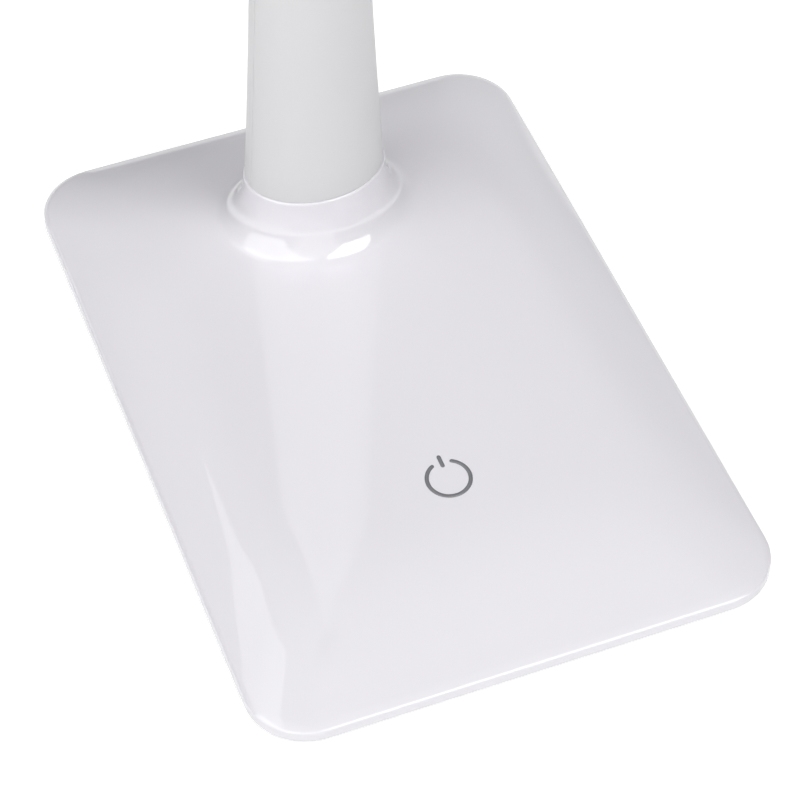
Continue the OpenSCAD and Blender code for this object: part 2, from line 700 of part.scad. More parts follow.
module stem_cable() {
    z = floor_z + ballast_t + cable_d / 2 + 0.1;
    top = board_z + board_t + cable_d / 2;
    end_x = -4;
    board_y = board_l / 2 - touch_fwd;
    up = function(h) [0, stem_back - lean_k * (h - collar_z), h];
    color([0.15, 0.15, 0.16])
        cable([[end_x, board_y - 4.5, top], [end_x, board_y - 1.6, top], [end_x, board_y + 1, z],
               [end_x, board_y + 8, z], [end_x + 1.5, board_y + 24, z],
               [end_x / 4, stem_back - flange_front - 8, z], [0, stem_back - flange_front, z],
               [0, stem_back - tube_r - 2, z + 0.4], [0, stem_back - 2, z + 2.4],
               [0, stem_back + 0.3, z + 5], up(ledge_z + 4), up(hinge_h / 2), up(hinge_h - 20),
               up(hinge_h - cable_gap)], cable_d);
}

// The eye is plugged into the tube. A slot lets the cable through the turning axis.
module hinge_eye() {
    color([0.62, 0.63, 0.65]) difference() {
        union() {
            on_stem() {
                translate([0, 0, tube_end - plug_len]) cylinder(r = bore_r - seat, h = plug_len + 1);
                translate([0, 0, tube_end + seat]) cylinder(r = tube_r - 0.4, h = axis_len - tube_end);
            }
            on_hinge() along_x(-eye_x) cylinder(r = eye_r, h = eye_w);
        }
        on_stem() translate([0, 0, tube_end - plug_len - 1]) cylinder(d = slot_w - 1.5, h = axis_len);
        on_hinge() translate([-slot_w / 2, -2 * eye_r, -3]) cube([slot_w, 4 * eye_r, 3 * eye_r]);
        on_hinge() along_x(-eye_x - 1) cylinder(d = thread_d + 2 * seat, h = eye_w + 2);
    }
}

module both_sides() {
    for (s = [0, 1]) on_hinge() mirror([s, 0, 0]) children();
}

module friction_washers() {
    color([0.85, 0.8, 0.6]) both_sides() along_x(eye_x) difference() {
        cylinder(r = eye_r - 0.5, h = washer_t);
        translate([0, 0, -1]) cylinder(r = pivot_d / 2 + run_gap, h = washer_t + 2);
    }
}

module pivot_screws() {
    r = pivot_d / 2;
    tip_x = slot_w / 2 + 0.2;
    head_out = head_x + pivot_head_t;
    color(steel) both_sides() along_x(0) difference() {
        rotate_extrude() polygon([[0, tip_x], [thread_d / 2, tip_x], [thread_d / 2, eye_x], [r, eye_x],
            [r, head_x], [pivot_head_d / 2, head_x], [pivot_head_d / 2, head_out - 0.3],
            [pivot_head_d / 2 - 0.3, head_out], [0, head_out]]);
        translate([0, 0, head_out - 1.4]) cylinder(d = 3, h = 2, $fn = 6);
    }
}

// Conical springs that press the ears against the friction washers
module disc_springs() {
    r0 = pivot_d / 2 + run_gap;
    r1 = pivot_head_d / 2 - 0.2;
    t = 0.4;
    color(steel) both_sides() along_x(ear_out + run_gap)
        rotate_extrude() polygon([[r1, 0], [r1, t], [r0, spring_t], [r0, spring_t - t]]);
}

module hinge_fork() {
    color([0.62, 0.63, 0.65]) on_hinge() difference() {
        union() {
            translate([0, 0, frame_z]) linear_extrude(fork_t) rounded_rect(fork_w, fork_l, 2);
            for (s = [0, 1]) mirror([s, 0, 0]) along_x(ear_x) {
                cylinder(r = eye_r, h = ear_t);
                translate([-eye_r, 0, 0]) cube([2 * eye_r, frame_z + fork_t / 2, ear_t]);
            }
        }
        along_x(-head_x) cylinder(r = pivot_d / 2 + run_gap, h = 2 * head_x);
        translate([0, 0, frame_z - 1]) cylinder(d = slot_w, h = fork_t + 2);
        at_holes(fork_holes, frame_z) flat_hole(small_screw_d, fork_t + 1, small_screw_d + 1.6);
    }
}

module at_holes(holes, z) {
    for (p = holes) translate([p.x, p.y, z]) children();
}

module fork_screws() {
    color(steel) on_hinge() at_holes(fork_holes, frame_z)
        flat_screw(small_screw_d, roof_z - frame_z - 0.6, small_screw_d + 1.6);
}

module bar_top_housing() {
    function ring(inset, z) =
        [for (p = plan(bar_half_w - inset, bar_half_l - inset, bar_corner - inset, 0, 0))
            [p.x, p.y + bar_mid, z]];
    top = bar_lift + bar_t;
    bend = bar_round;
    rings = concat(
        [ring(bar_wall + bend / 2, roof_z), ring(bar_wall, roof_z - bend / 2)],
        [ring(bar_wall, bar_lift), ring(0, bar_lift), ring(0, top - bend)],
        [for (f = [18, 36, 54, 72, 90]) ring(bend * (1 - cos(f)), top - bend + bend * sin(f))]);
    color(satin_white) on_hinge() difference() {
        union() {
            skin(rings);
            at_holes(fork_holes, fork_z) cylinder(d = frame_boss_d, h = roof_z + bond - fork_z);
            at_holes(frame_holes, frame_z) cylinder(d = frame_boss_d, h = roof_z + bond - frame_z);
            for (y = board_holes) translate([0, y, spreader_top])
                cylinder(d = boss_pad_d, h = roof_z + bond - spreader_top);
        }
        at_holes(fork_holes, frame_z) cylinder(d = small_screw_d + 2 * seat, h = roof_z - frame_z);
        at_holes(frame_holes, frame_z - 1) cylinder(d = small_screw_d + 2 * seat, h = roof_z - frame_z);
        for (y = board_holes) translate([0, y, spreader_top - 1])
            cylinder(d = tiny_screw_d + 2 * seat, h = roof_z - spreader_top + 0.6);
    }
}

// The frame closes the bar from below and carries the two hinge cheeks
module bar_bottom_frame() {
    inset = bar_wall + fit;
    gate_x = cheek_x;
    gate_y = eye_r + 0.6;
    color(satin_white) on_hinge() difference() {
        union() {
            translate([0, bar_mid, bar_lift]) rotate([0, 0, 90]) linear_extrude(frame_t)
                rounded_rect(bar_len - 2 * inset, bar_w - 2 * inset, bar_corner - inset);
            for (s = [0, 1]) mirror([s, 0, 0]) along_x(cheek_x) {
                cylinder(r = cheek_r, h = cheek_out - cheek_x);
                translate([-cheek_r, 0, 0]) cube([2 * cheek_r, bar_lift + frame_t / 2, cheek_out - cheek_x]);
            }
        }
        translate([0, optics_mid, bar_lift - 1]) rotate([0, 0, 90]) linear_extrude(frame_t + 2)
            rounded_rect(optics_len - 2 * window_lip, window_w, optics_r - 1);
        translate([0, optics_mid, bar_lift + ledge_t]) rotate([0, 0, 90]) linear_extrude(frame_t)
            rounded_rect(optics_len, optics_w, optics_r);
        translate([-gate_x, -gate_y, bar_lift - 1]) cube([2 * gate_x, 2 * gate_y, frame_t + 2]);
        for (s = [0, 1]) mirror([s, 0, 0]) along_x(cheek_x - 1) {
            cylinder(r = cheek_bore_r, h = cheeks_w);
            translate([0, 0, cheek_out - cap_t - cheek_x + 1]) cylinder(r = cap_r + fit, h = cheeks_w);
        }
        at_holes(frame_holes, bar_lift) flat_hole(small_screw_d, frame_t + 1, small_screw_d + 2);
    }
}

module frame_screws() {
    color(steel) on_hinge() at_holes(frame_holes, bar_lift)
        flat_screw(small_screw_d, frame_t + small_grip, small_screw_d + 2);
}

module diffuser() {
    gap = 2 * fit;
    color([0.97, 0.97, 0.95]) on_hinge() translate([0, optics_mid, 0]) rotate([0, 0, 90]) {
        translate([0, 0, bar_lift + ledge_t]) linear_extrude(diffuser_t)
            rounded_rect(optics_len - gap, optics_w - gap, optics_r - fit);
        translate([0, 0, bar_lift + 0.2]) linear_extrude(ledge_t)
            rounded_rect(optics_len - 2 * window_lip - gap, window_w - gap, optics_r - 1 - fit);
    }
}

module reflector() {
    color([0.97, 0.97, 0.97]) on_hinge() translate([0, optics_mid, diffuser_top]) rotate([0, 0, 90])
        linear_extrude(reflector_h) difference() {
            rounded_rect(optics_len, optics_w, optics_r);
            rounded_rect(optics_len - 2 * reflector_wall, optics_w - 2 * reflector_wall,
                         optics_r - reflector_wall);
        }
}

module optics_plate(z, t, hole_d) {
    on_hinge() difference() {
        translate([0, optics_mid, z]) rotate([0, 0, 90]) linear_extrude(t)
            rounded_rect(optics_len, optics_w, optics_r);
        for (y = board_holes) translate([0, y, z - 1]) cylinder(d = hole_d, h = t + 2);
    }
}

module led_board() {
    color([0.94, 0.94, 0.93]) optics_plate(board_low, led_board_t, tiny_screw_d + 2 * seat);
}

module heat_spreader() {
    color([0.75, 0.76, 0.78]) optics_plate(spreader_low, spreader_t, tiny_screw_d + 2 * seat);
}

module leds() {
    pitch = (optics_len - 2 * led_margin) / (led_count - 1);
    color([0.95, 0.85, 0.35]) on_hinge() for (x = [-1, 1], i = [0:led_count - 1])
        translate([x * led_rows / 2 - led_size.x / 2, optics_rear - led_margin - i * pitch - led_size.y / 2,
                   board_low - led_size.z])
            cube(led_size);
}

module board_screws() {
    r = tiny_screw_d / 2;
    head_r = 1.9 * r;
    color(steel) on_hinge() for (y = board_holes) translate([0, y, board_low - tiny_head_h])
        rotate_extrude() polygon([[0, 0], [head_r - 0.3, 0], [head_r, 0.3], [head_r, tiny_head_h],
            [r, tiny_head_h], [r, roof_z - board_low + 0.2], [0, roof_z - board_low + 0.2]]);
}

module bar_cable() {
    end = optics_rear;
    mid = board_low + led_board_t / 2 + cable_d / 8;
    color([0.15, 0.15, 0.16]) on_hinge()
        cable([[0, 0, cable_gap], [0, 0, frame_z / 2], [0, 0, fork_z], [0, -1, fork_z + 2.4],
               [0, -4, mid + 0.6], [0, -9, mid], [0, end, mid]], cable_d);
}

module hinge_cap() {
    on_hinge() along_x(cheek_out - cap_t) {
        cylinder(r = cap_r, h = cap_t - 0.3);
        translate([0, 0, cap_t - 0.3]) cylinder(r1 = cap_r, r2 = cap_r - 0.3, h = 0.3);
    }
}

module hinge_cap_right() {
    color(satin_white) hinge_cap();
}

module hinge_cap_left() {
    color(satin_white) mirror([1, 0, 0]) hinge_cap();
}

base_top_shell();
bottom_plate();
anti_slip_pad();
ballast_plate();
base_screws();
control_board();
touch_foam();
socket_board();
power_socket();
supply_wires();
stem_foot();
foot_screws();
stem_tube();
stem_rear_shell();
stem_front_cover();
stem_cable();
hinge_eye();
friction_washers();
pivot_screws();
disc_springs();
hinge_fork();
fork_screws();
bar_top_housing();
bar_bottom_frame();
frame_screws();
diffuser();
reflector();
led_board();
leds();
heat_spreader();
board_screws();
bar_cable();
hinge_cap_left();
hinge_cap_right();
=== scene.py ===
"""Looks of the folding LED desk lamp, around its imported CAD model. Lengths are millimetres times MM."""

import json
import math

import bmesh
import bpy
import numpy as np
from mathutils import Matrix, Vector

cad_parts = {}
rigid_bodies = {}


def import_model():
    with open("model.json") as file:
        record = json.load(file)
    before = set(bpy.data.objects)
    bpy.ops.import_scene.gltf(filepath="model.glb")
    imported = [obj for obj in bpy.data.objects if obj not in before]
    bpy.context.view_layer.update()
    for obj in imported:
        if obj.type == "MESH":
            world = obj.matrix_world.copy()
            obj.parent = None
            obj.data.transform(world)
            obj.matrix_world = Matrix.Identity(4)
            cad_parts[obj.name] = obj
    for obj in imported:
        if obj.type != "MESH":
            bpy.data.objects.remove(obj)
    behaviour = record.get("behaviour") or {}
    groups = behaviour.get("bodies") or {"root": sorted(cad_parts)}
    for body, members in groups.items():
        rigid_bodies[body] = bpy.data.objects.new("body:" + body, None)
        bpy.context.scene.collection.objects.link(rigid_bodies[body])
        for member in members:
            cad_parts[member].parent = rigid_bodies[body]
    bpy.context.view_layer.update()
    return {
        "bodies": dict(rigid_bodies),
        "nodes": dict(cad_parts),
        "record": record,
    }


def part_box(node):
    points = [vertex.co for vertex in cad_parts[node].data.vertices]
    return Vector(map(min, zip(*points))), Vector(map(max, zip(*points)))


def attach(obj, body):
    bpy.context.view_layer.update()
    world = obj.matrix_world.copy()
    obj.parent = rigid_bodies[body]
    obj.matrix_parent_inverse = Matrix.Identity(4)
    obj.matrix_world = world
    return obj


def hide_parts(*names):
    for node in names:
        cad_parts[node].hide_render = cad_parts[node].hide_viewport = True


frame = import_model()
MM = 0.001


# Sizes in millimetres, from the frame where it has them

def cad_mm(node):
    """Lower and upper corner of a CAD node's box."""
    low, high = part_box(node)
    return np.array(low) / MM, np.array(high) / MM


SHELL_LOW, SHELL_HIGH = cad_mm("base_top_shell")
HALF_W = (SHELL_HIGH[0] - SHELL_LOW[0]) / 2
HALF_D = (SHELL_HIGH[1] - SHELL_LOW[1]) / 2
FOOT_Z = SHELL_LOW[2]
COLLAR_Z = SHELL_HIGH[2]
STEM_LOW, STEM_HIGH = cad_mm("stem_rear_shell")
STEM_A = (STEM_HIGH[0] - STEM_LOW[0]) / 2
STEM_B = 12.6
DEPTH_SHARE = STEM_B / STEM_A
STEM_INSET = 38.9
STEM_Y = HALF_D - STEM_INSET
CORNER = 13.9
RIM_H = 2.7
RIM_ROUND = 0.5
RIM_WALL = 2.0
CROWN_H = 9.2
CROWN_SLOPE = 0.04
CROWN_CAMBER = 0.05
SIDE_BORDER = 21.0
FRONT_BORDER = 43.0
REAR_BORDER = 44.0
TOP_WALL = 1.8
PLATE_T = 1.6
LIP_H = 1.0
LIP_LEDGE = 0.38
LIP_ROUND = 0.5
FILLET = 8.0
SHELL_H = STEM_HIGH[2] - COLLAR_Z
SHOULDER_H = 16.0
STEM_END_HALF = 10.8
TAPER_RUN = 37.0
STEM_WALL = 1.8
PARTING_FWD = 2.0
PARTING_GAP = 0.1
SHELL_EDGE = 0.12
SPIGOT_H = 9.0
FIT = 0.1
TUBE_R = 6.0
LEAN = math.tan(math.radians(2.72))
TOUCH_INSET = 49.9
TOUCH_Y = TOUCH_INSET - HALF_D
BAY_X = 12.0
BAY_W = 13.6
BAY_DEPTH = 15.0
BAY_Y = HALF_D - BAY_DEPTH
BAY_WALL = 1.6
TINY = 1e-9
WELD = 0.002
SHARP_ANGLE = 40
SKIN_ANGLE = 28

# Stage and lamps, in metres
FLOOR_HALF = 12.0
FLOOR_DROP = 0.0002
NEAR_FLOOR = 0.7
FAR_FLOOR = 3.0
LAMP_FAR = 2.5


# Surfaces as functions of place

def edge_reach(x, y, hx, hy, r):
    """Distance from the centre to a rounded rectangle, along the direction (x, y)."""
    n = np.hypot(x, y)
    c, s = np.abs(x) / n, np.abs(y) / n
    kx, ky = hx - r, hy - r
    b = c * kx + s * ky
    corner = b + np.sqrt(np.maximum(0, b * b - kx * kx - ky * ky + r * r))
    side, end = hx / np.maximum(c, TINY), hy / np.maximum(s, TINY)
    return np.where(s * hx <= c * ky, side, np.where(c * hy <= s * kx, end, corner))


def border_rise(t):
    """Rise of the sloping border: 0 at the rim, 1 where the flat top begins."""
    return np.where(t >= 1, 1, t * (2 - t))


def top_z(x, y):
    """Height of the base's top surface."""
    flat = CROWN_H + CROWN_SLOPE * y - CROWN_CAMBER * (x / HALF_W) ** 2
    border = np.where(y < 0, FRONT_BORDER, REAR_BORDER)
    outer = edge_reach(x, y + TINY, HALF_W, HALF_D, CORNER)
    inner = edge_reach(x, y + TINY, HALF_W - SIDE_BORDER, HALF_D - border, CORNER)
    t = (outer - np.hypot(x, y)) / (outer - inner)
    return FOOT_Z + RIM_H + (flat - RIM_H) * border_rise(np.maximum(0, t))


def plan(hx, hy, r, n_long, n_short, n_arc):
    """Points round a rounded rectangle, with the same count at any size."""
    signs = [(1, 1), (-1, 1), (-1, -1), (1, -1)]

    def at(k, a):
        sx, sy = signs[k % 4]
        return np.array([sx * (hx - r) + r * math.cos(a), sy * (hy - r) + r * math.sin(a)])

    points = []
    for k in range(4):
        n = n_short if k % 2 == 0 else n_long
        points += [at(k, math.radians(90) * (k + i / n_arc)) for i in range(n_arc + 1)]
        p, q = at(k, math.radians(90) * (k + 1)), at(k + 1, math.radians(90) * (k + 1))
        points += [p + (q - p) * i / (n + 1) for i in range(1, n + 1)]
    return np.array(points)


def oval_points(angles, a, b, centre_y):
    """Points of an oval at the given angles as seen from its centre."""
    c, s = np.cos(angles), np.sin(angles)
    r = 1 / np.hypot(c / a, s / b)
    return np.stack([r * c, centre_y + r * s], 1)


def lift(ring, z):
    """A plan ring, set at a height or at one height for each point."""
    return np.column_stack([ring, np.broadcast_to(z, len(ring))])


# Meshes

def loose_mesh(name, points, faces):
    """A mesh in the row frame, given in millimetres."""
    mesh = bpy.data.meshes.new(name)
    mesh.from_pydata([tuple(p * MM) for p in np.asarray(points, float)], [], faces)
    mesh.validate()
    mesh.update()
    obj = bpy.data.objects.new(name, mesh)
    bpy.context.scene.collection.objects.link(obj)
    return obj


def new_mesh(name, points, faces, body, smooth_angle=30):
    """A named mesh that moves with a CAD body."""
    obj = loose_mesh(name, points, faces)
    smooth(obj, smooth_angle)
    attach(obj, body)
    return obj


def smooth(obj, angle):
    """Smooth shading, with sharp edges above an angle in degrees."""
    mesh = obj.data
    mesh.polygons.foreach_set("use_smooth", [True] * len(mesh.polygons))
    mesh.set_sharp_from_angle(angle=math.radians(angle))


def ring_faces(n, m, loop):
    """Faces between n rings of m points: closed by two caps, or by the first ring again."""
    faces = []
    for j in range(n if loop else n - 1):
        k = (j + 1) % n
        for i in range(m):
            h = (i + 1) % m
            faces.append((j * m + i, j * m + h, k * m + h, k * m + i))
    if not loop:
        faces += [tuple(range(m - 1, -1, -1)), tuple(range((n - 1) * m, n * m))]
    return faces


def edit(mesh):
    """A bmesh copy of the mesh, to be put back with put_back."""
    bm = bmesh.new()
    bm.from_mesh(mesh)
    return bm


def put_back(bm, mesh):
    bm.to_mesh(mesh)
    bm.free()


def apply_modifiers(obj):
    """Turns the object's modifiers into plain mesh."""
    bpy.context.view_layer.update()
    depsgraph = bpy.context.evaluated_depsgraph_get()
    mesh = bpy.data.meshes.new_from_object(obj.evaluated_get(depsgraph))
    obj.modifiers.clear()
    obj.data = mesh


def combine(obj, tool, operation):
    """Joins the tool to obj (UNION) or takes its space out (DIFFERENCE), and removes the tool."""
    modifier = obj.modifiers.new("combine", "BOOLEAN")
    modifier.operation = operation
    modifier.solver = "EXACT"
    modifier.object = tool
    apply_modifiers(obj)
    bpy.data.objects.remove(tool)


def plain_box(name, low, high):
    """A block between two corners, in millimetres."""
    mesh = bpy.data.meshes.new(name)
    bm = bmesh.new()
    bmesh.ops.create_cube(bm, size=1)
    size = (np.array(high) - np.array(low)) * MM
    centre = (np.array(high) + np.array(low)) / 2 * MM
    place = Matrix.Translation(centre) @ Matrix.Diagonal((*size, 1))
    bmesh.ops.transform(bm, matrix=place, verts=bm.verts)
    put_back(bm, mesh)
    obj = bpy.data.objects.new(name, mesh)
    bpy.context.scene.collection.objects.link(obj)
    return obj


def paint(obj, material):
    """Gives obj its one material."""
    obj.data.materials.clear()
    obj.data.materials.append(material)


# Materials

def material(name, colour, roughness, metallic=0.0, ior=1.5):
    """A new material with its node tree and its Principled shader."""
    mat = bpy.data.materials.new(name)
    mat.use_nodes = True
    shader = mat.node_tree.nodes["Principled BSDF"]
    shader.inputs["Base Color"].default_value = (*colour, 1)
    shader.inputs["Roughness"].default_value = roughness
    shader.inputs["Metallic"].default_value = metallic
    shader.inputs["IOR"].default_value = ior
    return mat, mat.node_tree, shader


def add_noise(tree, scale, detail=3.0, stretch=(1, 1, 1)):
    """Noise on the object's own coordinates. The scale counts features per metre."""
    place = tree.nodes.new("ShaderNodeTexCoord")
    mapping = tree.nodes.new("ShaderNodeMapping")
    mapping.inputs["Scale"].default_value = stretch
    noise = tree.nodes.new("ShaderNodeTexNoise")
    noise.inputs["Scale"].default_value = scale
    noise.inputs["Detail"].default_value = detail
    tree.links.new(place.outputs["Object"], mapping.inputs["Vector"])
    tree.links.new(mapping.outputs["Vector"], noise.inputs["Vector"])
    return noise


def vary_colour(tree, shader, noise, colour, amount):
    """Lightens and darkens the base colour by a small share."""
    mix = tree.nodes.new("ShaderNodeMix")
    mix.data_type = "RGBA"
    mix.inputs["A"].default_value = (*[c * (1 - amount) for c in colour], 1)
    mix.inputs["B"].default_value = (*[min(1, c * (1 + amount)) for c in colour], 1)
    tree.links.new(noise.outputs["Fac"], mix.inputs["Factor"])
    tree.links.new(mix.outputs["Result"], shader.inputs["Base Color"])


def vary_roughness(tree, shader, noise, low, high):
    """Spreads the roughness between two values."""
    spread = tree.nodes.new("ShaderNodeMapRange")
    spread.inputs["To Min"].default_value = low
    spread.inputs["To Max"].default_value = high
    tree.links.new(noise.outputs["Fac"], spread.inputs["Value"])
    tree.links.new(spread.outputs["Result"], shader.inputs["Roughness"])


def add_bump(tree, shader, noise, height):
    """Fine relief of a height in millimetres."""
    bump = tree.nodes.new("ShaderNodeBump")
    bump.inputs["Distance"].default_value = height * MM
    tree.links.new(noise.outputs["Fac"], bump.inputs["Height"])
    tree.links.new(bump.outputs["Normal"], shader.inputs["Normal"])


def gloss_plastic(name, colour, roughness=0.03):
    """Moulded high-gloss plastic with a faint waviness."""
    mat, tree, shader = material(name, colour, roughness, ior=1.72)
    vary_colour(tree, shader, add_noise(tree, 18), colour, 0.006)
    vary_roughness(tree, shader, add_noise(tree, 90), roughness * 0.8, roughness * 1.25)
    add_bump(tree, shader, add_noise(tree, 260, 2), 0.004)
    return mat


def satin_plastic(name, colour, roughness=0.42):
    """Moulded plastic with the fine grain of an etched tool."""
    mat, tree, shader = material(name, colour, roughness, ior=1.46)
    vary_colour(tree, shader, add_noise(tree, 25), colour, 0.008)
    vary_roughness(tree, shader, add_noise(tree, 150), roughness * 0.92, roughness * 1.08)
    add_bump(tree, shader, add_noise(tree, 2600, 4), 0.006)
    return mat


def rubber(name, colour, grain):
    """Rubber or foam, with a grain in features per metre."""
    mat, tree, shader = material(name, colour, 0.7, ior=1.45)
    vary_colour(tree, shader, add_noise(tree, 300), colour, 0.12)
    add_bump(tree, shader, add_noise(tree, grain, 4), 0.05)
    return mat


def metal(name, colour, roughness, stretch=(1, 1, 1)):
    """Bare metal. A stretch under 1 draws the grain out along that axis."""
    mat, tree, shader = material(name, colour, roughness, metallic=1.0)
    noise = add_noise(tree, 900, 4, stretch)
    vary_colour(tree, shader, noise, colour, 0.05)
    vary_roughness(tree, shader, noise, roughness * 0.75, roughness * 1.3)
    add_bump(tree, shader, noise, 0.01)
    return mat


def board(name, colour):
    """Solder resist: glossy, with the faint relief of copper tracks under it."""
    mat, tree, shader = material(name, colour, 0.25)
    tracks = add_noise(tree, 420, 0)
    vary_colour(tree, shader, tracks, colour, 0.12)
    add_bump(tree, shader, tracks, 0.03)
    return mat


def frosted(name, colour):
    """Cloudy light window that lets light into its thickness."""
    mat, tree, shader = material(name, colour, 0.5, ior=1.49)
    shader.inputs["Subsurface Weight"].default_value = 0.6
    shader.inputs["Subsurface Radius"].default_value = (4 * MM, 4 * MM, 4 * MM)
    shader.inputs["Subsurface Scale"].default_value = 1.0
    vary_colour(tree, shader, add_noise(tree, 40), colour, 0.01)
    add_bump(tree, shader, add_noise(tree, 3500, 3), 0.008)
    return mat


BASE_WHITE = (0.819, 0.805, 0.842)
STEM_WHITE = (0.740, 0.737, 0.747)
PRINT_GREY = (0.20, 0.205, 0.215)
looks = {
    "gloss_white": gloss_plastic("glossy_white", BASE_WHITE),
    "satin_white": satin_plastic("satin_white", STEM_WHITE),
    "pad_grey": rubber("pad_foam", (0.045, 0.045, 0.048), 1200),
    "ballast_iron": metal("ballast_iron", (0.16, 0.16, 0.17), 0.6),
    "screw_steel": metal("zinc_steel", (0.60, 0.61, 0.62), 0.28),
    "circuit_green": board("green_board", (0.02, 0.16, 0.06)),
    "foam_grey": rubber("conductive_foam", (0.10, 0.10, 0.11), 2500),
    "socket_steel": metal("socket_steel", (0.66, 0.66, 0.68), 0.22),
    "wire_red": gloss_plastic("red_wire", (0.45, 0.02, 0.015), 0.35),
    "cable_black": rubber("black_cable", (0.02, 0.02, 0.022), 900),
    "cast_grey": metal("zinc_casting", (0.42, 0.43, 0.45), 0.5),
    "tube_white": satin_plastic("tube_enamel", STEM_WHITE, 0.32),
    "hinge_steel": metal("hinge_steel", (0.50, 0.51, 0.53), 0.32),
    "washer_cream": satin_plastic("washer_plastic", (0.62, 0.55, 0.36), 0.4),
    "diffuser_white": frosted("frosted_diffuser", (0.88, 0.88, 0.86)),
    "reflector_white": satin_plastic("reflector_white", (0.86, 0.86, 0.86), 0.5),
    "led_board_white": board("white_board", (0.80, 0.80, 0.79)),
    "led_yellow": gloss_plastic("led_gel", (0.80, 0.55, 0.10), 0.3),
    "spreader_aluminium": metal("aluminium_strip", (0.74, 0.75, 0.76), 0.35, (1, 0.05, 1)),
}


def carry_over(own_shapes):
    """Every CAD node gets the material of its slot, and a smooth skin if it has no own shape here."""
    slots = {part["node"]: part["material_slot"] for part in frame["record"]["subparts"]}
    for node, cad in frame["nodes"].items():
        cad.data.materials.clear()
        cad.data.materials.append(looks[slots[node]])
        if node not in own_shapes:
            skin(node, cad, slots[node])


def skin(node, cad, slot):
    """The CAD node's own form with its faces joined, so that its curves shade smoothly."""
    mesh = bpy.data.meshes.new(f"{node}_skin")
    bm = edit(cad.data)
    bmesh.ops.remove_doubles(bm, verts=bm.verts, dist=WELD * MM)
    put_back(bm, mesh)
    obj = bpy.data.objects.new(f"{node}_skin", mesh)
    bpy.context.scene.collection.objects.link(obj)
    smooth(obj, SKIN_ANGLE)
    level = obj.modifiers.new("level", "WEIGHTED_NORMAL")
    level.keep_sharp = True
    apply_modifiers(obj)
    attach(obj, next(name for name, body in frame["bodies"].items() if cad.parent == body))
    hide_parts(node)
    paint(obj, looks[slot])


# Base

def base_shell():
    """The glossy top shell: rim, dome, fillet and collar in one skin, with the plug bay cut in."""
    rings = shell_rings()
    shell = new_mesh("glossy_top_shell", np.concatenate(rings), ring_faces(len(rings), len(rings[0]), True),
                     "stand", SHARP_ANGLE)
    bay_left, bay_right = BAY_X - BAY_W / 2, BAY_X + BAY_W / 2
    combine(shell, bay_block(bay_left - BAY_WALL, bay_right + BAY_WALL), "UNION")
    bay = plain_box("bay", (bay_left, BAY_Y, FOOT_Z - 1), (bay_right, HALF_D + 5, COLLAR_Z))
    combine(shell, bay, "DIFFERENCE")
    socket_low, socket_high = cad_mm("power_socket")
    window = plain_box("socket_window", (socket_low[0] - FIT, BAY_Y - BAY_WALL - 1, socket_low[2] - FIT),
                       (socket_high[0] + FIT, BAY_Y + 1, socket_high[2] + FIT))
    combine(shell, window, "DIFFERENCE")
    smooth(shell, SHARP_ANGLE)
    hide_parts("base_top_shell")
    paint(shell, looks["gloss_white"])


def shell_rings():
    """Rings of points from the rim's foot over the dome and the collar, and back along the inside."""
    n_long, n_short, n_arc = 46, 34, 12

    def rim(inset):
        return plan(HALF_W - inset, HALF_D - inset, CORNER - inset, n_long, n_short, n_arc)

    own = np.arctan2(rim(0)[:, 1] - STEM_Y, rim(0)[:, 0])
    own = np.where(own < own[0] - TINY, own + 2 * math.pi, own)
    heading = (own + own[0] + 2 * math.pi * np.arange(len(own)) / len(own)) / 2
    foot_a, foot_b = STEM_A + FILLET, STEM_B + FILLET
    foot = oval_points(heading, foot_a, foot_b, STEM_Y)
    foot_z = top_z(foot[:, 0], foot[:, 1])
    lip_z = COLLAR_Z - LIP_H

    def dome(start, share, drop, low):
        q = start + share * (foot - start)
        return lift(q, np.maximum(low, top_z(q[:, 0], q[:, 1]) - drop))

    def fillet(turn, a, b, drop):
        k = 1 - math.sin(turn)
        q = oval_points(heading, a + k * (foot_a - a), b + k * (foot_b - b), STEM_Y)
        z0 = foot_z - drop
        return lift(q, z0 + (lip_z - z0) * (1 - math.cos(turn)))

    def oval(a, b, z):
        return lift(oval_points(heading, a, b, STEM_Y), z)

    lip_a, lip_b = STEM_A + LIP_LEDGE, STEM_B + LIP_LEDGE
    in_a, in_b = STEM_A - TOP_WALL, STEM_B - TOP_WALL
    round_turns = np.radians(np.linspace(0, 90, 6))
    shares = np.concatenate([np.linspace(0, 0.3, 16), np.linspace(0.32, 1, 26)])
    turns = np.radians(np.linspace(0, 90, 19))[1:]
    rings = [lift(rim(0), FOOT_Z), lift(rim(0), FOOT_Z + RIM_H * 0.4)]
    for turn in round_turns[:-1]:
        inset = RIM_ROUND * (1 - math.cos(turn))
        rings.append(lift(rim(inset), FOOT_Z + RIM_H - RIM_ROUND * (1 - math.sin(turn))))
    rings += [dome(rim(RIM_ROUND), share, 0, 0) for share in shares]
    rings += [fillet(turn, lip_a, lip_b, 0) for turn in turns]
    for turn in round_turns:
        inset = LIP_ROUND * (1 - math.cos(turn))
        rings.append(oval(lip_a - inset, lip_b - inset, COLLAR_Z - LIP_ROUND * (1 - math.sin(turn))))
    rings.append(oval(in_a, in_b, COLLAR_Z))
    rings += [fillet(turn, in_a, in_b, TOP_WALL) for turn in turns[::-3]]
    rings += [dome(rim(RIM_WALL), share, TOP_WALL, FOOT_Z + PLATE_T + FIT) for share in shares[::-4]]
    rings.append(lift(rim(RIM_WALL), FOOT_Z))
    return rings


